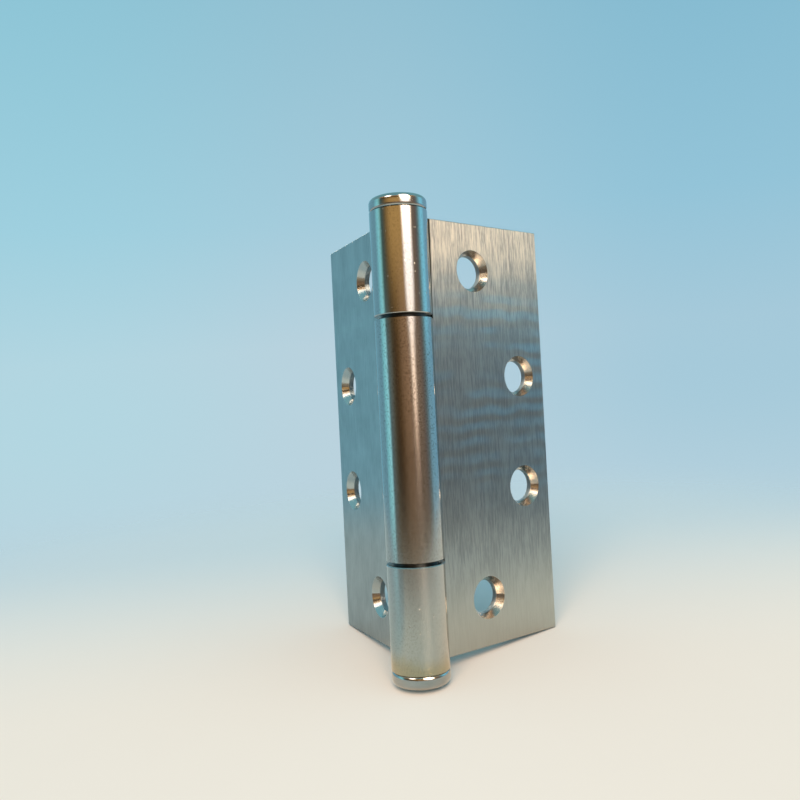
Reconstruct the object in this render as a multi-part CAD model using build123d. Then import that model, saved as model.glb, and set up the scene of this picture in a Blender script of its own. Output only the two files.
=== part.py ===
from build123d import *
from math import cos, radians, sin, tan
import os

# Three-knuckle full-mortise butt hinge with two concealed bearings in its barrel.
# Lengths are in millimetres and angles in degrees.
# The pin stands along Z with the origin at its middle, and the frame leaf runs back along +Y.

# Leaves
leaf_height = 114.3
open_width = 101.6
leaf_gauge = 3.4
closed_gap = 1.6
rest_angle = 78.0
swage_radius = 8.0
notch_clearance = 2.9
leaf_edge_break = 0.2

# Screw holes, as reach from the pin and height from the middle of the leaf
inner_hole_reach = 25.3
inner_hole_height = 44.25
outer_hole_reach = 41.1
outer_hole_height = 15.5
hole_diameter = 8.9
countersink_diameter = 11.4
countersink_angle = 60.0

# Barrel
pin_diameter = 7.94
end_knuckle_length = 26.15
joint_gap = 0.85
knuckle_edge_break = 0.2
curl_seam = 0.15

# Tips
tip_height = 3.6
tip_edge_radius = 1.35
tip_edge_flats = 3
stem_length = 5.0

# Bearings, each lying across one knuckle joint
frame_race_wall = 1.6
frame_race_seat = 6.0
frame_race_reach = 1.0
flange_thickness = 1.2
sleeve_wall = 0.78
bearing_depth = 8.0

# Clearances
press_clearance = 0.02
running_clearance = 0.05
thrust_clearance = 0.05
free_clearance = 0.32
pin_end_play = 0.3

# Sizes that follow from the ones above
leaf_reach = open_width / 2
half_height = leaf_height / 2
half_gap = joint_gap / 2
joint_height = half_height - end_knuckle_length - half_gap
inner_face = -closed_gap / 2
outer_face = inner_face - leaf_gauge
pin_radius = pin_diameter / 2
barrel_radius = pin_radius + leaf_gauge
notch_reach = barrel_radius + notch_clearance
frame_bore = pin_radius + press_clearance
door_bore = pin_radius + free_clearance
frame_race_radius = frame_bore + frame_race_wall
frame_seat_radius = frame_race_radius + press_clearance
door_seat_radius = frame_race_radius + free_clearance
sleeve_bore = pin_radius + running_clearance
sleeve_radius = sleeve_bore + sleeve_wall
thrust_height = joint_height - frame_race_reach
flange_top = thrust_height - thrust_clearance
flange_bottom = flange_top - flange_thickness
bearing_bottom = joint_height - bearing_depth
pin_half_length = half_height - stem_length - pin_end_play


def cylinder_between(radius, low, high):
    return Pos(0, 0, low) * Cylinder(radius, high - low, align=(Align.CENTER, Align.CENTER, Align.MIN))


def ring_between(outer, inner, low, high):
    return cylinder_between(outer, low, high) - cylinder_between(inner, low - 1, high + 1)


def box_between(low, high):
    size = [b - a for a, b in zip(low, high)]
    return Pos(*low) * Box(*size, align=(Align.MIN, Align.MIN, Align.MIN))


def knuckle(low, high):
    # One curl of the barrel, its rims broken where they face another knuckle and sharp under a tip.
    curl = cylinder_between(barrel_radius, low, high)
    rims = [edge for edge in curl.edges() if abs(edge.center().Z) < joint_height + joint_gap]
    return chamfer(rims, knuckle_edge_break)


def swage(low, high):
    # Concave bend that sets the leaf back from the outside of the curl to the middle of the barrel.
    centre_y = outer_face - swage_radius
    centre_x = ((barrel_radius + swage_radius) ** 2 - centre_y**2) ** 0.5
    share = barrel_radius / (barrel_radius + swage_radius)
    bend = box_between((0, share * centre_y, low), (centre_x, inner_face, high))
    hollow = Pos(centre_x, centre_y, 0) * cylinder_between(swage_radius, low - 1, high + 1)
    return bend - hollow


def curl_slit(low, high):
    # Hairline where the end of the curl closes on the inner face of the leaf.
    return box_between((0, inner_face, low), (barrel_radius + 1, inner_face + curl_seam, high))


def leaf_plate():
    plate = box_between((0, outer_face, -half_height), (leaf_reach, inner_face, half_height))
    rim = [edge for edge in plate.edges() if edge.center().X > 1]
    return chamfer(rim, leaf_edge_break)


def countersunk_hole():
    # Cutter along +Y, measured from the outer face of the leaf up to the countersunk inner face.
    hole_radius = hole_diameter / 2
    rim_radius = countersink_diameter / 2
    land = leaf_gauge - (rim_radius - hole_radius) / tan(radians(countersink_angle / 2))
    profile = Polyline(
        (0, -1),
        (hole_radius, -1),
        (hole_radius, land),
        (rim_radius, leaf_gauge),
        (rim_radius, leaf_gauge + 1),
        (0, leaf_gauge + 1),
        close=True,
    )
    return revolve(make_face(profile), Axis.Y)


def hole_places():
    places = []
    for side in (1, -1):
        places.append((inner_hole_reach, side * inner_hole_height))
        places.append((outer_hole_reach, side * outer_hole_height))
    return places


def rolled_leaf(curls, notches):
    # A leaf reaching along +X with its inner face towards +Y, rolled into a curl at each given span.
    leaf = leaf_plate()
    for low, high in notches:
        leaf -= box_between((-1, outer_face - 1, low), (notch_reach, inner_face + 1, high))
    for low, high in curls:
        leaf += swage(low, high)
        leaf += knuckle(low, high)
        leaf -= curl_slit(low, high)
    cutter = countersunk_hole()
    for reach, height in hole_places():
        leaf -= Pos(reach, outer_face, height) * cutter
    return leaf


def frame_leaf():
    end = joint_height + half_gap
    leaf = rolled_leaf([(end, half_height), (-half_height, -end)], [(-end, end)])
    leaf -= cylinder_between(frame_bore, -half_height - 1, half_height + 1)
    seat_end = joint_height + frame_race_seat
    leaf -= cylinder_between(frame_seat_radius, -seat_end, seat_end)
    return Rot(0, 0, 90) * leaf


def door_leaf():
    end = joint_height - half_gap
    leaf = rolled_leaf([(-end, end)], [(end, half_height + 1), (-half_height - 1, -end)])
    leaf -= cylinder_between(door_bore, -end - 1, end + 1)
    for side in (1, -1):
        low, high = sorted((side * bearing_bottom, side * (end + 1)))
        leaf -= cylinder_between(door_seat_radius, low, high)
    return Rot(0, 0, 90 - rest_angle) * mirror(leaf, Plane.XZ)


def hinge_pin():
    return cylinder_between(pin_radius, -pin_half_length, pin_half_length)


def tip():
    # Flat button as wide as the barrel, on a stem pressed into the end of the knuckle.
    flat = barrel_radius - tip_edge_radius
    shoulder = tip_height - tip_edge_radius
    rounding = []
    for step in range(tip_edge_flats + 1):
        turn = radians(90 * step / tip_edge_flats)
        rounding.append((flat + tip_edge_radius * cos(turn), shoulder + tip_edge_radius * sin(turn)))
    profile = Polyline(
        (0, -stem_length),
        (pin_radius, -stem_length),
        (pin_radius, 0),
        (barrel_radius, 0),
        *rounding,
        (0, tip_height),
        close=True,
    )
    button = revolve(make_face(profile), Axis.Y)
    return Pos(0, 0, half_height) * Rot(90, 0, 0) * button


def frame_race():
    top = joint_height + frame_race_seat
    return ring_between(frame_race_radius, frame_bore, thrust_height, top)


def bearing():
    # Flange takes the thrust between the races, and the sleeve takes the side load on the pin.
    flange = ring_between(door_seat_radius - press_clearance, sleeve_bore, flange_bottom, flange_top)
    return flange + ring_between(sleeve_radius, sleeve_bore, bearing_bottom, flange_bottom)


def door_race():
    inner = sleeve_radius + press_clearance
    return ring_between(door_seat_radius - press_clearance, inner, bearing_bottom, flange_bottom)


pieces = {
    "frame_leaf": frame_leaf(),
    "door_leaf": door_leaf(),
    "hinge_pin": hinge_pin(),
}
for name, piece in (
    ("tip", tip()),
    ("frame_race", frame_race()),
    ("bearing", bearing()),
    ("door_race", door_race()),
):
    pieces["upper_" + name] = piece
    pieces["lower_" + name] = mirror(piece, Plane.XY)

os.makedirs("parts", exist_ok=True)
for name, piece in pieces.items():
    export_step(piece, f"parts/{name}.step")
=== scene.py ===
from math import cos, radians, sin

import bpy
from mathutils import Matrix, Vector


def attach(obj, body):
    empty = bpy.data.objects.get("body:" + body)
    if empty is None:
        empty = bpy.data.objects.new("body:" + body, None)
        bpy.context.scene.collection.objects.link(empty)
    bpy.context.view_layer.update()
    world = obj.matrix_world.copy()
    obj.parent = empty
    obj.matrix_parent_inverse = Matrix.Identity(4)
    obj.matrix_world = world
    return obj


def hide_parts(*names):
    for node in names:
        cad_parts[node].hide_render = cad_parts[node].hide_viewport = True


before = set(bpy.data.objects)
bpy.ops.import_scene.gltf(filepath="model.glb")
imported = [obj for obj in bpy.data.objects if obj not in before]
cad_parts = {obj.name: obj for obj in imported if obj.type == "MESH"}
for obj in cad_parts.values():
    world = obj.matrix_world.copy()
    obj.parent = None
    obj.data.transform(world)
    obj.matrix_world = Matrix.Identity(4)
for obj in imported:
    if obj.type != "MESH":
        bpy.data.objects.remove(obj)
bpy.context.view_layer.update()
mm = 0.001
print("frame loaded:", len(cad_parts), "nodes")


# one place for selection, because the loaded nodes arrive selected
def deselectAll():
    bpy.ops.object.select_all(action="DESELECT")


# colours are written as 0-255 screen values and turned into linear ones
def paint(red, green, blue, strength=1.0):
    linear = []
    for value in (red, green, blue):
        share = value / 255
        low = share / 12.92
        high = ((share + 0.055) / 1.055) ** 2.4
        linear.append(strength * (low if share <= 0.04045 else high))
    return (*linear, 1.0)


def addNode(tree, kind, inputs=None, **settings):
    made = tree.nodes.new(kind)
    for name, value in settings.items():
        setattr(made, name, value)
    for name, value in (inputs or {}).items():
        if isinstance(value, bpy.types.NodeSocket):
            tree.links.new(value, made.inputs[name])
        else:
            made.inputs[name].default_value = value
    return made


def calc(tree, operation, *values):
    inputs = dict(enumerate(values))
    return addNode(tree, "ShaderNodeMath", inputs, operation=operation).outputs[0]


# 0 at the first value, 1 at the second, eased between them
def ease(tree, value, start, end):
    inputs = {"Value": value, "From Min": start, "From Max": end}
    made = addNode(tree, "ShaderNodeMapRange", inputs, interpolation_type="SMOOTHSTEP")
    return made.outputs["Result"]


# 0 outside the span, 1 within it, given where it starts, is full, fades and ends
def window(tree, value, span):
    begins, full, fades, ends = span
    return calc(tree, "MULTIPLY", ease(tree, value, begins, full), ease(tree, value, ends, fades))


# 1 below the given limit, eased off between the two margins from it
def below(tree, value, limit, margins):
    outer, inner = margins
    return ease(tree, value, limit + outer, limit + inner)


def spread(tree, value, low, high):
    inputs = {"Value": value, "To Min": low, "To Max": high}
    return addNode(tree, "ShaderNodeMapRange", inputs).outputs["Result"]


def dotWith(tree, vector, way):
    made = addNode(tree, "ShaderNodeVectorMath", {0: vector, 1: way}, operation="DOT_PRODUCT")
    return made.outputs["Value"]


def mixColour(tree, factor, first, second, blend="MIX"):
    made = addNode(tree, "ShaderNodeMix", data_type="RGBA", blend_type=blend)
    for place, value in ((0, factor), (6, first), (7, second)):
        if isinstance(value, bpy.types.NodeSocket):
            tree.links.new(value, made.inputs[place])
        else:
            made.inputs[place].default_value = value
    return made.outputs[2]


def mixValue(tree, factor, first, second):
    inputs = {0: factor, 2: first, 3: second}
    return addNode(tree, "ShaderNodeMix", inputs, data_type="FLOAT").outputs[0]


def colourBand(tree, factor, stops):
    made = addNode(tree, "ShaderNodeValToRGB", {"Fac": factor})
    band = made.color_ramp
    band.elements[0].position, band.elements[0].color = stops[0]
    band.elements[1].position, band.elements[1].color = stops[-1]
    for position, colour in stops[1:-1]:
        band.elements.new(position).color = colour
    return made.outputs["Color"]


# how far a noise lies from its middle
def offMiddle(tree, value):
    return calc(tree, "SUBTRACT", value, 0.5)


# noise with its own scale along each axis
def noise(tree, vector, scale, detail, roughness):
    stretched = addNode(tree, "ShaderNodeMapping", {"Vector": vector, "Scale": scale}).outputs[0]
    inputs = {"Vector": stretched, "Scale": 1.0, "Detail": detail, "Roughness": roughness}
    return addNode(tree, "ShaderNodeTexNoise", inputs).outputs["Fac"]


def vectorCalc(tree, operation, *values):
    inputs = dict(enumerate(values))
    return addNode(tree, "ShaderNodeVectorMath", inputs, operation=operation).outputs[0]


def emptyMaterial(name):
    material = bpy.data.materials.new(name)
    material.use_nodes = True
    material.node_tree.nodes.clear()
    return material, material.node_tree


leafFinish = {
    "barrelColour": paint(177, 175, 172),
    "shearedEdge": paint(112, 110, 107),
    "boreWall": paint(150, 156, 160),
    # darker olive colour for a ragged band at the very foot of the barrel
    "oliveBand": paint(184, 165, 127),
    # painted light: lighter steel colour near the floor, standing in for the floor's light in the steel
    "paintedFloorLight": paint(204, 198, 187),
    "pits": paint(120, 112, 104),
    # painted shade: a dark strip on the door leaf beside the upper notch, where the knuckle shades the notch
    # face
    "paintedNotchShade": paint(50, 45, 38),
    "paintedNotchShadeReach": (10.5, 11.0),    # mm from the pin, at the joint and at the end of the leaf
    "paintedNotchShadeRise": (31, 57),         # mm up, at the same two places
    "paintedNotchShadeStart": (30.4, 31.0),    # mm up
    "paintedNotchShadeSoft": 0.12,             # mm each way
    "brushedRough": (0.277, 0.31),
    "edgeRough": 0.45,
    "coneRough": 0.24,
    "anisotropy": 0.8,
    # sizes of the leaf in mm, each with the margins over which its finish changes
    "barrelRadius": 7.37,
    "barrelMargins": (0.5, 0.05),
    "coneRadius": 5.7,
    "coneMargins": (0.12, -0.02),
    "boreRadius": 4.45,
    "boreMargins": (0.14, 0.04),
    "gauge": 3.4,
    "gaugeMargins": (-0.02, -0.2),
    "innerFace": 0.8,              # from the pin axis
    "holes": ((25.3, 44.25), (41.1, 15.5)),   # reach and height
    "edgeReach": (8.0, 9.5),       # sheared edges begin this far from the pin
    "edgeFacing": (0.8, 0.5),      # and where a face turns this far from flat
    # patterns, each in waves per mm along, across and up the leaf, then detail and roughness
    "shortLines": ((3.2, 3.2, 0.22), 3.0, 0.65),
    "longLines": ((1.3, 1.3, 0.035), 2.0, 0.5),
    "mottle": ((0.16, 0.16, 0.11), 3.0, 0.6),
    "patches": ((0.07, 0.07, 0.08), 2.0, 0.5),
    "turning": ((0.15, 0.15, 4.0), 3.0, 0.6),
    "grain": ((2.6, 2.6, 2.2), 2.0, 0.7),
    "dents": ((1.3, 1.3, 1.7), 1.0, 0.5),
    "ripple": {"Scale": 0.072, "Distortion": 3.5, "Detail": 2.0, "Detail Scale": 1.3},
    "lineShares": (0.8, 0.2),      # of the short and the long lines
    "mottled": 0.3,
    "strokeSpan": (-0.16, 0.16),   # from dark to light strokes
    "pitSpan": (0.52, 0.30),
    "dentSpan": (0.74, 0.82),
    "patchSpan": (0.34, 0.62),
    # where each change begins and ends, in mm up the leaf
    "coarseAndLitRise": (24, 51),
    "footRise": (-30, -52),
    "oliveBandRise": (-49, -53),
    "oliveBandRagged": 6,            # mm
    "knuckleRise": (-25, 25),
    "barrelFoot": 0.6,             # how much lighter the barrel is painted near the floor, as painted light from the floor
    "oliveBandShare": 0.7,
    "coarseRough": 0.08,           # added at the upper end of the plate
    "turnRough": 0.06,
    # heights in hundredths of a mm
    "lineHeight": (1.0, 3.0),      # below and at the upper end of the plate
    "turnHeight": 0.04,
    "grainHeight": 0.16,
    "dentHeight": -4.0,
    "bump": {"Strength": 0.8, "Distance": 0.00001},
    # roller marks: where they show up and along the leaf in mm, and how strongly
    "chatterRise": (-28, 2, 36, 50),
    "chatterAlong": (8, 34),
    "chatterAlongShare": (0.6, 1.0),
    "chatterUp": (0, 30),
    "chatterUpShare": (1.0, 1.25),
    "chatterLevel": 0.24,          # of the wave, where the plate stays flat
}
frameLeafFinish = {
    "turn": -90,                   # degrees, so that the leaf runs along X
    "side": -1,
    "brushed": paint(190, 188, 185),
    "brushedLitTop": paint(190, 188, 185),
    "shadeLitTop": paint(160, 159, 157),
    "brushedShade": paint(160, 159, 157),
    "foot": 0.0,                   # how much lighter the plate is painted near the floor, as painted light from the floor
    "knuckleRough": (0.17, 0.08),  # lower, upper end of the barrel
    "grain": 0.6,
    "pitted": 0.3,
    "dented": 1.0,
    "paintedNotchShaded": 0.0,
    "coneColour": paint(198, 197, 194),
    "coarseAndLitTop": 0.0,                 # how much rougher the plate is towards its upper end, and how far its strokes are painted lighter there
    "streak": 0.4,
    "chatter": 0.10,               # slope of the roller marks
}
doorLeafFinish = {
    "turn": -12,
    "side": 1,
    # painted shade: the door leaf's strokes are darker and cooler than the frame leaf's, for the same steel
    "brushed": paint(168, 172, 173),
    # painted light: lighter, warmer strokes towards the door leaf's upper end
    "brushedLitTop": paint(218, 206, 191),
    "shadeLitTop": paint(152, 147, 143),
    "brushedShade": paint(141, 145, 147),
    "foot": 0.7,
    "knuckleRough": (0.12, 0.08),
    "grain": 2.0,
    "pitted": 0.6,
    "dented": 0.0,
    "paintedNotchShaded": 1.0,                  # painted shade: dark line along the upper notch
    "coneColour": paint(190, 180, 170),
    "coarseAndLitTop": 1.0,
    "streak": 1.0,
    "chatter": 0.18,
}


def distance(tree, first, second):
    squares = [calc(tree, "MULTIPLY", value, value) for value in (first, second)]
    return calc(tree, "SQRT", calc(tree, "ADD", *squares))


# one steel for a whole leaf: brushed plate, turned barrel, cut countersinks, sheared edges
def leafSteel(name, own):
    finish = leafFinish
    material, tree = emptyMaterial(name)
    coords = addNode(tree, "ShaderNodeTexCoord")
    turn = (0, 0, radians(own["turn"]))
    place = {"Vector": coords.outputs["Object"], "Rotation": turn, "Scale": (1000, 1000, 1000)}
    leaf = addNode(tree, "ShaderNodeMapping", place).outputs[0]     # mm along, across and up the leaf
    parts = addNode(tree, "ShaderNodeSeparateXYZ", {0: leaf})
    along, across, up = parts.outputs[0], parts.outputs[1], parts.outputs[2]
    facing = {"Vector": coords.outputs["Normal"], "Rotation": turn}
    facing = addNode(tree, "ShaderNodeMapping", facing, vector_type="NORMAL").outputs[0]
    flatness = calc(tree, "ABSOLUTE", addNode(tree, "ShaderNodeSeparateXYZ", {0: facing}).outputs[1])

    # where the barrel, the countersinks and the sheared edges are
    radius = distance(tree, along, across)
    barrel = below(tree, radius, finish["barrelRadius"], finish["barrelMargins"])
    height = calc(tree, "ABSOLUTE", up)
    depth = calc(tree, "SUBTRACT", calc(tree, "MULTIPLY", across, own["side"]), finish["innerFace"])
    nearest = None
    for reach, rise in finish["holes"]:
        away = distance(tree, calc(tree, "SUBTRACT", along, reach), calc(tree, "SUBTRACT", height, rise))
        nearest = away if nearest is None else calc(tree, "MINIMUM", nearest, away)
    cone = below(tree, nearest, finish["coneRadius"], finish["coneMargins"])
    cone = calc(tree, "MULTIPLY", cone, below(tree, depth, finish["gauge"], finish["gaugeMargins"]))
    bore = below(tree, nearest, finish["boreRadius"], finish["boreMargins"])
    edge = calc(tree, "MULTIPLY", ease(tree, flatness, *finish["edgeFacing"]),
                ease(tree, radius, *finish["edgeReach"]))
    edge = calc(tree, "MULTIPLY", edge, calc(tree, "SUBTRACT", 1.0, cone))
    bright = calc(tree, "MAXIMUM", barrel, cone)
    plate = calc(tree, "SUBTRACT", 1.0, bright)

    # brush lines run up the plate in short and long strokes, with roller chatter across them
    shortLines = noise(tree, leaf, *finish["shortLines"])
    longLines = noise(tree, leaf, *finish["longLines"])
    mottle = noise(tree, leaf, *finish["mottle"])
    ripple = {"Vector": leaf, **finish["ripple"]}
    chatter = addNode(tree, "ShaderNodeTexWave", ripple, bands_direction="Z").outputs["Fac"]
    patches = ease(tree, noise(tree, leaf, *finish["patches"]), *finish["patchSpan"])
    turning = noise(tree, leaf, *finish["turning"])
    grain = noise(tree, leaf, *finish["grain"])
    dents = ease(tree, noise(tree, leaf, *finish["dents"]), *finish["dentSpan"])
    shortShare, longShare = finish["lineShares"]
    lines = calc(tree, "ADD", calc(tree, "MULTIPLY", shortLines, shortShare),
                 calc(tree, "MULTIPLY", longLines, longShare))

    # colour of the plate
    strokes = calc(tree, "ADD", calc(tree, "MULTIPLY", offMiddle(tree, lines), own["streak"]),
                   calc(tree, "MULTIPLY", offMiddle(tree, mottle), finish["mottled"]))
    # painted light: the door plate's strokes turn lighter and warmer towards its upper end, where it also
    # grows rougher
    coarseAndLitTop = calc(tree, "MULTIPLY", ease(tree, up, *finish["coarseAndLitRise"]), own["coarseAndLitTop"])
    lightStroke = mixColour(tree, coarseAndLitTop, own["brushed"], own["brushedLitTop"])
    darkStroke = mixColour(tree, coarseAndLitTop, own["brushedShade"], own["shadeLitTop"])
    brushed = mixColour(tree, ease(tree, strokes, *finish["strokeSpan"]), darkStroke, lightStroke)
    # painted light: the plate turns lighter near the floor
    low = ease(tree, up, *finish["footRise"])
    brushed = mixColour(tree, calc(tree, "MULTIPLY", low, own["foot"]), brushed, finish["paintedFloorLight"])
    colour = mixColour(tree, edge, brushed, finish["shearedEdge"])

    # painted shade as a dark line beside the upper notch, then the foot of the barrel, painted lighter as
    # painted light from the floor, with a darker olive band at its very foot
    reach = mixValue(tree, ease(tree, up, *finish["paintedNotchShadeRise"]), *finish["paintedNotchShadeReach"])
    soft = finish["paintedNotchShadeSoft"]
    paintedNotchShade = ease(tree, calc(tree, "SUBTRACT", reach, along), -soft, soft)
    paintedNotchShade = calc(tree, "MULTIPLY", paintedNotchShade, ease(tree, up, *finish["paintedNotchShadeStart"]))
    paintedNotchShade = calc(tree, "MULTIPLY", paintedNotchShade, calc(tree, "MULTIPLY", plate, own["paintedNotchShaded"]))
    colour = mixColour(tree, paintedNotchShade, colour, finish["paintedNotchShade"])
    ragged = calc(tree, "ADD", up, calc(tree, "MULTIPLY", mottle, finish["oliveBandRagged"]))
    foot = calc(tree, "MULTIPLY", ease(tree, ragged, *finish["oliveBandRise"]), finish["oliveBandShare"])
    steel = mixColour(tree, calc(tree, "MULTIPLY", low, finish["barrelFoot"]),
                      finish["barrelColour"], finish["paintedFloorLight"])
    steel = mixColour(tree, foot, steel, finish["oliveBand"])
    pitted = calc(tree, "MULTIPLY", ease(tree, grain, *finish["pitSpan"]), own["pitted"])
    steel = mixColour(tree, pitted, steel, finish["pits"])
    steel = mixColour(tree, cone, steel, own["coneColour"])
    colour = mixColour(tree, bright, colour, steel)
    colour = mixColour(tree, bore, colour, finish["boreWall"])

    # roughness of each part
    brushedRough = calc(tree, "ADD", spread(tree, lines, *finish["brushedRough"]),
                        calc(tree, "MULTIPLY", coarseAndLitTop, finish["coarseRough"]))
    lower, upper = own["knuckleRough"]
    turnRough = calc(tree, "MULTIPLY", offMiddle(tree, turning), finish["turnRough"])
    knuckleRough = mixValue(tree, ease(tree, up, *finish["knuckleRise"]), lower, upper)
    knuckleRough = calc(tree, "ADD", knuckleRough, turnRough)
    rough = mixValue(tree, edge, brushedRough, finish["edgeRough"])
    rough = mixValue(tree, paintedNotchShade, rough, finish["edgeRough"])
    rough = mixValue(tree, barrel, rough, knuckleRough)
    rough = mixValue(tree, cone, rough, finish["coneRough"])
    rough = mixValue(tree, bore, rough, finish["edgeRough"])

    # strokes on the plate, and turning lines, grain and dents on the barrel
    tallness = calc(tree, "MULTIPLY", spread(tree, coarseAndLitTop, *finish["lineHeight"]), own["streak"])
    lineHeight = calc(tree, "MULTIPLY", calc(tree, "MULTIPLY", lines, plate), tallness)
    barrelHeight = calc(tree, "MULTIPLY", turning, calc(tree, "MULTIPLY", barrel, finish["turnHeight"]))
    for pattern, tallest in ((grain, finish["grainHeight"] * own["grain"]),
                             (dents, finish["dentHeight"] * own["dented"])):
        added = calc(tree, "MULTIPLY", pattern, calc(tree, "MULTIPLY", barrel, tallest))
        barrelHeight = calc(tree, "ADD", barrelHeight, added)
    bumpHeight = calc(tree, "ADD", lineHeight, barrelHeight)

    # the plate is rougher across its lines, level, and the barrel along the pin
    normal = addNode(tree, "ShaderNodeNewGeometry").outputs["Normal"]
    level = vectorCalc(tree, "CROSS_PRODUCT", (0, 0, 1), normal)
    level = vectorCalc(tree, "ADD", level, (0.002, 0.001, 0))     # so that it never vanishes
    crosswise = mixColour(tree, barrel, level, (0, 0, 1, 1))

    # roller marks tilt the plate a little sideways in level bands
    banded = calc(tree, "MULTIPLY", calc(tree, "SUBTRACT", chatter, finish["chatterLevel"]), patches)
    banded = calc(tree, "MULTIPLY", banded, window(tree, up, finish["chatterRise"]))
    for value, name in ((along, "chatterAlong"), (up, "chatterUp")):
        share = spread(tree, ease(tree, value, *finish[name]), *finish[name + "Share"])
        banded = calc(tree, "MULTIPLY", banded, share)
    slope = calc(tree, "MULTIPLY", banded, calc(tree, "MULTIPLY", plate, own["chatter"]))
    tilted = vectorCalc(tree, "MULTIPLY_ADD", level, slope, normal)
    tilted = vectorCalc(tree, "NORMALIZE", tilted)
    bump = addNode(tree, "ShaderNodeBump", {**finish["bump"], "Height": bumpHeight, "Normal": tilted})
    shader = addNode(tree, "ShaderNodeBsdfPrincipled", {
        "Base Color": colour, "Metallic": 1.0, "Roughness": rough, "Normal": bump.outputs[0],
        "Anisotropic": finish["anisotropy"], "Tangent": crosswise})
    addNode(tree, "ShaderNodeOutputMaterial", {"Surface": shader.outputs[0]})
    return material


turnedLook = {
    "turning": ((150, 150, 4200), 3.0, 0.6),   # waves per m, detail and roughness
    "cloud": ((240, 240, 240), 2.0, 0.5),
    "turningShare": 0.5,
    "wearSpan": (0.35, 0.65),
    "bump": {"Strength": 0.1, "Distance": 0.00002},
}
tipFinish = {"colour": paint(182, 180, 177), "shade": paint(168, 166, 163), "rough": (0.08, 0.15)}
pinFinish = {"colour": paint(180, 178, 174), "shade": paint(160, 158, 154), "rough": (0.22, 0.34)}
raceFinish = {"colour": paint(62, 64, 65), "shade": paint(44, 46, 47), "rough": (0.30, 0.42)}   # blackened


# turned and polished steel, with faint lines round the axis
def turnedSteel(name, finish):
    material, tree = emptyMaterial(name)
    coords = addNode(tree, "ShaderNodeTexCoord").outputs["Object"]
    turning = noise(tree, coords, *turnedLook["turning"])
    cloud = noise(tree, coords, *turnedLook["cloud"])
    wear = mixValue(tree, turnedLook["turningShare"], cloud, turning)
    colour = mixColour(tree, ease(tree, wear, *turnedLook["wearSpan"]), finish["shade"], finish["colour"])
    bump = addNode(tree, "ShaderNodeBump", {**turnedLook["bump"], "Height": turning})
    shader = addNode(tree, "ShaderNodeBsdfPrincipled", {
        "Base Color": colour, "Metallic": 1.0, "Roughness": spread(tree, wear, *finish["rough"]),
        "Normal": bump.outputs[0]})
    addNode(tree, "ShaderNodeOutputMaterial", {"Surface": shader.outputs[0]})
    return material


bearingFinish = {
    "colour": paint(34, 34, 36),
    "shade": paint(22, 22, 23),
    "rough": (0.42, 0.58),
    "mottle": ((900, 900, 900), 4.0, 0.6),     # waves per m, detail and roughness
    "mottleSpan": (0.35, 0.65),
    "bump": {"Strength": 0.2, "Distance": 0.00003},
}


# dark moulded bearing, slightly mottled
def mouldedPolymer(name, finish):
    material, tree = emptyMaterial(name)
    coords = addNode(tree, "ShaderNodeTexCoord").outputs["Object"]
    mottle = noise(tree, coords, *finish["mottle"])
    colour = mixColour(tree, ease(tree, mottle, *finish["mottleSpan"]), finish["shade"], finish["colour"])
    bump = addNode(tree, "ShaderNodeBump", {**finish["bump"], "Height": mottle})
    shader = addNode(tree, "ShaderNodeBsdfPrincipled", {
        "Base Color": colour, "Roughness": spread(tree, mottle, *finish["rough"]), "Normal": bump.outputs[0]})
    addNode(tree, "ShaderNodeOutputMaterial", {"Surface": shader.outputs[0]})
    return material


def dress(nodeName, material):
    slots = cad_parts[nodeName].data.materials
    slots.clear()
    slots.append(material)


dress("frame_leaf", leafSteel("frameLeafSteel", frameLeafFinish))
dress("door_leaf", leafSteel("doorLeafSteel", doorLeafFinish))
dress("hinge_pin", turnedSteel("pinSteel", pinFinish))
raceSteel = turnedSteel("raceSteel", raceFinish)
bearingPolymer = mouldedPolymer("bearingPolymer", bearingFinish)
for end in ("upper", "lower"):
    dress(end + "_frame_race", raceSteel)
    dress(end + "_door_race", raceSteel)
    dress(end + "_bearing", bearingPolymer)
print("steel and bearing finishes dressed")


tipSize = {               # mm
    "radius": 7.366,      # as the barrel
    "seat": 57.15,        # up the pin, where the tip meets the knuckle
    "height": 3.6,
    "round": 1.45,        # at the crown's rim
    "seam": 1.0,          # round at the rim that meets the knuckle
    "stemRadius": 3.97,
    "stem": 5.0,          # down into the knuckle
}
tipMesh = {"sides": 96, "roundSteps": 10, "seamSteps": 5, "smoothUnder": 30}     # last in degrees


# out of edit mode, with nothing of the mesh selected
def clearSelection(piece):
    bpy.ops.object.mode_set(mode="OBJECT")
    for parts in (piece.data.vertices, piece.data.edges, piece.data.polygons):
        for part in parts:
            part.select = False


# edges of the active mesh whose ends all pass the test
def selectEdges(piece, test):
    clearSelection(piece)
    for edge in piece.data.edges:
        edge.select = all(test(piece.data.vertices[point].co) for point in edge.vertices)
    bpy.ops.object.mode_set(mode="EDIT")


def selectFaces(piece, test):
    clearSelection(piece)
    for face in piece.data.polygons:
        face.select = test(face.center, face.normal)
    bpy.ops.object.mode_set(mode="EDIT")


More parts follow.
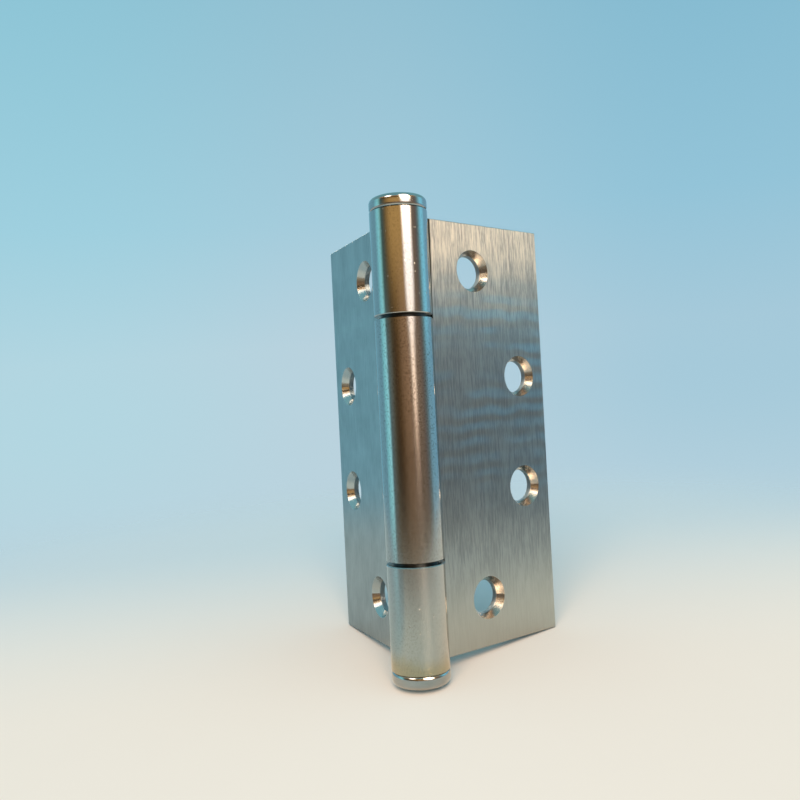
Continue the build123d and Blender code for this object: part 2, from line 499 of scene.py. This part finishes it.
def makeTip():
    shape = {name: value * mm for name, value in tipSize.items()}
    seat, crown = shape["seat"], shape["seat"] + shape["height"]
    deselectAll()
    bpy.ops.mesh.primitive_cylinder_add(vertices=tipMesh["sides"], radius=shape["radius"],
                                        depth=shape["height"], location=(0, 0, (seat + crown) / 2))
    tip = bpy.context.object
    tip.name = "upperTipTurned"
    bpy.ops.object.transform_apply(location=True, rotation=False, scale=False)
    near = 1e-6          # m
    bpy.ops.object.mode_set(mode="EDIT")
    bpy.ops.mesh.select_mode(type="FACE")
    selectFaces(tip, lambda centre, normal: normal.z < -0.9)
    bpy.ops.mesh.inset(thickness=shape["radius"] - shape["stemRadius"], depth=0)
    bpy.ops.mesh.extrude_region_move(TRANSFORM_OT_translate={"value": (0, 0, -shape["stem"])})
    bpy.ops.mesh.select_mode(type="EDGE")
    rim = shape["radius"] - 10 * near
    selectEdges(tip, lambda point: point.z > crown - near and point.xy.length > rim)
    bpy.ops.mesh.bevel(offset=shape["round"], segments=tipMesh["roundSteps"], profile=0.5, affect="EDGES")
    selectEdges(tip, lambda point: abs(point.z - seat) < near and point.xy.length > rim)
    bpy.ops.mesh.bevel(offset=shape["seam"], segments=tipMesh["seamSteps"], profile=0.5, affect="EDGES")
    bpy.ops.object.mode_set(mode="OBJECT")
    bpy.ops.object.shade_smooth_by_angle(angle=radians(tipMesh["smoothUnder"]))
    bpy.ops.object.modifier_add(type="WEIGHTED_NORMAL")
    tip.modifiers[-1].keep_sharp = True
    bpy.ops.object.modifier_apply(modifier=tip.modifiers[-1].name)
    return tip


def mirrorTip(tip):
    deselectAll()
    tip.select_set(True)
    bpy.context.view_layer.objects.active = tip
    bpy.ops.object.duplicate(linked=False)
    lower = bpy.context.object
    lower.name = "lowerTipTurned"
    bpy.ops.object.mode_set(mode="EDIT")
    bpy.ops.mesh.select_all(action="SELECT")
    bpy.ops.transform.resize(value=(1, 1, -1), center_override=(0, 0, 0))
    bpy.ops.mesh.normals_make_consistent(inside=False)
    bpy.ops.object.mode_set(mode="OBJECT")
    return lower


upperTip = makeTip()
lowerTip = mirrorTip(upperTip)
tipSteel = turnedSteel("tipSteel", tipFinish)
for tip, nodeName in ((upperTip, "upper_tip"), (lowerTip, "lower_tip")):
    tip.data.materials.append(tipSteel)
    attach(tip, "frame")
    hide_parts(nodeName)
print("tips turned")


view = {
    "place": (-88.742, -182.079, 5.567),        # mm
    "turn": (91.22134, 2.90169, -25.39837),     # degrees
    "lens": 36.237,                             # mm
    "sensor": 36.0,                             # mm
    "clipStart": 5,                             # mm
}


def makeCamera():
    deselectAll()
    bpy.ops.object.camera_add(location=[value * mm for value in view["place"]],
                              rotation=[radians(value) for value in view["turn"]])
    camera = bpy.context.object
    camera.data.lens = view["lens"]
    camera.data.sensor_width = view["sensor"]
    camera.data.clip_start = view["clipStart"] * mm
    bpy.context.scene.camera = camera
    return camera


camera = makeCamera()
print("camera placed")


floorLook = {
    "normal": (-0.0623, -0.0755, 0.9952),
    "height": -61.317,       # mm where it meets the pin axis
    "size": 1800,            # mm
    "cuts": 7,
    "fade": (150, 340),      # mm from the hinge, where the floor runs into the background
    "near": paint(238, 234, 227),
    "far": paint(200, 219, 227),
    "speck": paint(210, 208, 204),
    "specked": 0.05,
    "grain": ((60, 60, 60), 4.0, 0.6),   # waves per m, detail and roughness
    "rough": 0.6,
    "coolWay": (-60, 1000, 0),           # the floor grows cooler this way
    "coolReach": (-10, 170),             # mm
    "shade": paint(255, 250, 238),       # what the steel sees of the floor: painted light, brighter than the floor itself
    "backShade": paint(208, 224, 226),   # and of its shaded side behind the frame leaf
    "backWay": (-755, 656, 0),
    "backReach": (16, 38),               # mm
}


# the hinge leans on the floor by its lower tip and two leaf corners
def makeFloor():
    deselectAll()
    bpy.ops.mesh.primitive_plane_add(size=floorLook["size"] * mm)
    floor = bpy.context.object
    floor.name = "studioFloor"
    bpy.ops.object.mode_set(mode="EDIT")
    bpy.ops.mesh.subdivide(number_cuts=floorLook["cuts"])
    bpy.ops.object.mode_set(mode="OBJECT")
    lift = Vector(floorLook["normal"]).normalized()
    ahead = camera.matrix_world.to_quaternion() @ Vector((0, 0, -1))
    ahead = (ahead - lift * ahead.dot(lift)).normalized()
    sideways = ahead.cross(lift)
    floor.matrix_world = Matrix((sideways, ahead, lift)).transposed().to_4x4()
    floor.location = (0, 0, floorLook["height"] * mm)

    material, tree = emptyMaterial("paleFloor")
    coords = addNode(tree, "ShaderNodeTexCoord").outputs["Object"]
    grain = noise(tree, coords, *floorLook["grain"])
    cool = ease(tree, dotWith(tree, coords, floorLook["coolWay"]), *floorLook["coolReach"])
    tone = mixColour(tree, cool, floorLook["near"], floorLook["far"])
    tone = mixColour(tree, spread(tree, grain, 0.0, floorLook["specked"]), tone, floorLook["speck"])
    # the steel sees the floor with painted light, and with a painted shadow behind the frame leaf
    mirrored = addNode(tree, "ShaderNodeLightPath").outputs["Is Glossy Ray"]
    back = ease(tree, dotWith(tree, coords, floorLook["backWay"]), *floorLook["backReach"])
    shaded = mixColour(tree, back, floorLook["shade"], floorLook["backShade"])
    tone = mixColour(tree, mirrored, tone, shaded)
    reach = addNode(tree, "ShaderNodeVectorMath", {0: coords}, operation="LENGTH").outputs["Value"]
    gone = ease(tree, calc(tree, "DIVIDE", reach, mm), *floorLook["fade"])
    matt = addNode(tree, "ShaderNodeBsdfDiffuse", {"Color": tone, "Roughness": floorLook["rough"]})
    clear = addNode(tree, "ShaderNodeBsdfTransparent")
    mixed = addNode(tree, "ShaderNodeMixShader", {0: gone, 1: matt.outputs[0], 2: clear.outputs[0]})
    addNode(tree, "ShaderNodeOutputMaterial", {"Surface": mixed.outputs[0]})
    floor.data.materials.append(material)
    return floor


floor = makeFloor()
print("floor laid")


studio = {
    "turn": 115.46,      # degrees, so that 0 of the ring faces the camera and + goes to its right
    "ring": (            # degrees round from the camera, colour
        (-180, paint(140, 199, 220)),
        (-108, paint(140, 199, 222)),
        (-92, paint(150, 235, 248, 1.3)),
        (-80, paint(165, 240, 252, 1.5)),
        (-71, paint(122, 152, 156)),
        (-60, paint(124, 132, 124)),
        (-48, paint(105, 95, 75)),
        (-38, paint(95, 75, 52)),
        (-26, paint(118, 90, 58)),
        (-8, paint(170, 134, 100)),
        (8, paint(188, 150, 116)),
        (54, paint(162, 140, 120)),
        (68, paint(136, 124, 114)),
        (82, paint(124, 144, 148)),
        (97, paint(152, 210, 236, 0.97)),
        (118, paint(150, 213, 242)),
        (150, paint(143, 192, 218)),
        (180, paint(140, 199, 220)),
    ),
    "front": (-0.1, 0.35),              # where the room in front begins and is full
    "dusk": (0.60, 0.60, 0.60, 1),      # the room grows dimmer down to the floor
    "duskRise": (0.02, -0.08),
    "duskAhead": (0.1, 0.9),
    "rightLift": (1.3, 1.75, 1.75, 1),  # and brighter high up on the right
    "rightLiftRound": (72, 86, 102, 122),
    "rightLiftRise": (0.05, 0.15),
    "leftFall": (0.60, 0.62, 0.54, 1),  # and dimmer high up on the left
    "leftFallRound": (-90, -76, -48, -30),
    "leftFallRise": (0.06, 0.18),
    "glow": (0.90, 0.54, 0.18, 1),      # warm light high in the room in front
    "glowRound": (-68, -26, 2, 30),     # degrees, where it starts, is full, and ends
    "glowRise": (0.10, 0.26, 0.27, 0.31),
    "gloom": (0.035, 0.02, 0.01, 1),    # dark part of the room above it
    "gloomRound": (-75, -55, 5, 20),
    "gloomRise": (0.27, 0.31, 0.40, 0.48),
    "panelLeft": (24, 14),              # degrees, at the foot and the head of the panel
    "panelRight": (37, 48),
    "panelSoft": 8,
    "panelRise": (0.08, 0.17),
    "panelEnds": (-0.12, -0.02, 0.75, 0.9),
    "panel": (                          # slope up, colour
        (-0.12, (0.30, 0.20, 0.13, 1)),
        (-0.05, (0.60, 0.38, 0.25, 1)),
        (0.00, (1.60, 1.12, 0.80, 1)),
        (0.05, (2.5, 1.90, 1.40, 1)),
        (0.10, (2.4, 1.95, 1.6, 1)),
        (0.14, (2.4, 2.15, 1.95, 1)),
        (0.22, (2.3, 2.15, 2.15, 1)),
        (0.26, (5.5, 4.6, 3.7, 1)),
        (0.30, (20.0, 16.3, 12.0, 1)),
        (0.40, (24.0, 19.5, 14.4, 1)),
    ),
    "overhead": (7.0, 6.2, 5.2, 1),     # small light above the camera's left shoulder
    "overheadAim": (-42, 41),           # degrees round and up
    "overheadSpread": (13, 8),          # degrees
    "floor": paint(206, 208, 204),
    "floorFront": paint(158, 144, 120),
    "floorDown": (-0.08, -0.24),
    "ceiling": paint(140, 200, 212),
    "ceilingFront": paint(212, 160, 92),
    "ceilingUp": (0.42, 0.50),
    "skyUp": (0.62, 0.72),
    "background": (      # slope up from the floor, colour
        (-0.42, paint(228, 224, 217)),
        (-0.20, paint(187, 211, 222)),
        (0.0, paint(185, 209, 221)),
        (0.15, paint(165, 203, 219)),
        (0.40, paint(146, 192, 210)),
    ),
    "tintUp": (-0.3, -0.05),
    "rightTint": (0.78, 0.92, 0.97, 1),  # of the background
    "rightTintSide": (-0.05, 0.36),
    "leftTint": (0.92, 1.05, 1.04, 1),
    "leftTintSide": (-0.02, -0.40),
    "soft": (0.36, 0.63, 0.74, 1.0),     # light on matt surfaces
    "lampPlace": (-0.10, -1.1, 1.2),     # m to the right of the pin, behind it and above the floor
    "lampSize": 1.0,                     # m
    "lampPower": 18.9,                   # W
    "lampColour": (1.0, 0.615, 0.385),
}


# a colour band over values that don't run from 0 to 1
def slopeBand(tree, value, stops):
    low, high = stops[0][0], stops[-1][0]
    inputs = {"Value": value, "From Min": low, "From Max": high}
    factor = addNode(tree, "ShaderNodeMapRange", inputs).outputs["Result"]
    return colourBand(tree, factor, [((place - low) / (high - low), colour) for place, colour in stops])


# the room around the hinge: a pale sweep behind it, a dim warm room in front with one lit panel
def makeStudio():
    world = bpy.data.worlds.new("studioRoom")
    bpy.context.scene.world = world
    world.use_nodes = True
    tree = world.node_tree
    tree.nodes.clear()
    coords = addNode(tree, "ShaderNodeTexCoord").outputs["Generated"]
    turned = {"Vector": coords, "Rotation": (0, 0, radians(studio["turn"]))}
    around = addNode(tree, "ShaderNodeMapping", turned).outputs[0]
    parts = addNode(tree, "ShaderNodeSeparateXYZ", {0: around})
    degrees = calc(tree, "DEGREES", calc(tree, "ARCTAN2", parts.outputs[1], parts.outputs[0]))
    rise = parts.outputs[2]

    stops = [((angle + 180) / 360, colour) for angle, colour in studio["ring"]]
    seen = colourBand(tree, calc(tree, "ADD", calc(tree, "DIVIDE", degrees, 360), 0.5), stops)
    forward = ease(tree, parts.outputs[0], *studio["front"])
    dusk = calc(tree, "MULTIPLY", ease(tree, rise, *studio["duskRise"]),
                ease(tree, parts.outputs[0], *studio["duskAhead"]))
    seen = mixColour(tree, dusk, seen, studio["dusk"], blend="MULTIPLY")
    for name in ("rightLift", "leftFall"):
        patch = calc(tree, "MULTIPLY", window(tree, degrees, studio[name + "Round"]),
                     ease(tree, rise, *studio[name + "Rise"]))
        seen = mixColour(tree, patch, seen, studio[name], blend="MULTIPLY")
    for name in ("glow", "gloom"):
        patch = calc(tree, "MULTIPLY", window(tree, degrees, studio[name + "Round"]),
                     window(tree, rise, studio[name + "Rise"]))
        seen = mixColour(tree, patch, seen, studio[name])
    warm = calc(tree, "MULTIPLY", forward, ease(tree, rise, *reversed(studio["skyUp"])))
    ceiling = mixColour(tree, warm, studio["ceiling"], studio["ceilingFront"])
    floor = mixColour(tree, forward, studio["floor"], studio["floorFront"])
    seen = mixColour(tree, ease(tree, rise, *studio["ceilingUp"]), seen, ceiling)

    widen = ease(tree, rise, *studio["panelRise"])
    soft = studio["panelSoft"]
    leftSide = calc(tree, "SUBTRACT", degrees, mixValue(tree, widen, *studio["panelLeft"]))
    rightSide = calc(tree, "SUBTRACT", mixValue(tree, widen, *studio["panelRight"]), degrees)
    panel = calc(tree, "MULTIPLY", ease(tree, leftSide, -soft, soft), ease(tree, rightSide, -soft, soft))
    panel = calc(tree, "MULTIPLY", panel, window(tree, rise, studio["panelEnds"]))
    seen = mixColour(tree, panel, seen, slopeBand(tree, rise, studio["panel"]))
    bearing, lift = (radians(value) for value in studio["overheadAim"])
    aim = (cos(lift) * cos(bearing), cos(lift) * sin(bearing), sin(lift))
    toward = dotWith(tree, around, aim)
    overhead = ease(tree, toward, *(cos(radians(value)) for value in studio["overheadSpread"]))
    seen = mixColour(tree, overhead, seen, studio["overhead"])
    seen = mixColour(tree, ease(tree, rise, *studio["floorDown"]), seen, floor)

    slope = dotWith(tree, coords, floorLook["normal"])
    sweep = slopeBand(tree, slope, studio["background"])
    tinted = ease(tree, slope, *studio["tintUp"])
    for name in ("rightTint", "leftTint"):
        aside = calc(tree, "MULTIPLY", ease(tree, parts.outputs[1], *studio[name + "Side"]), tinted)
        sweep = mixColour(tree, aside, sweep, studio[name], blend="MULTIPLY")

    path = addNode(tree, "ShaderNodeLightPath")
    mirrored = calc(tree, "MAXIMUM", path.outputs["Is Glossy Ray"], path.outputs["Is Transmission Ray"])
    direct = calc(tree, "LESS_THAN", path.outputs["Diffuse Depth"], 0.5)
    mirrored = calc(tree, "MULTIPLY", mirrored, direct)
    colour = mixColour(tree, mirrored, studio["soft"], seen)
    colour = mixColour(tree, path.outputs["Is Camera Ray"], colour, sweep)
    lit = addNode(tree, "ShaderNodeBackground", {"Color": colour, "Strength": 1.0})
    addNode(tree, "ShaderNodeOutputWorld", {"Surface": lit.outputs[0]})


# a broad lamp in front and above lays the soft shadow behind the hinge
def makeLamp(floor):
    deselectAll()
    bpy.ops.object.light_add(type="AREA", location=floor.matrix_world @ Vector(studio["lampPlace"]))
    lamp = bpy.context.object
    lamp.name = "softLamp"
    lamp.data.size = studio["lampSize"]
    lamp.data.energy = studio["lampPower"]
    lamp.data.color = studio["lampColour"]
    lamp.rotation_euler = (floor.location - lamp.location).to_track_quat("-Z", "Y").to_euler()
    lamp.visible_glossy = False


makeStudio()
makeLamp(floor)
bpy.context.scene.view_settings.view_transform = "Standard"
print("studio lit")
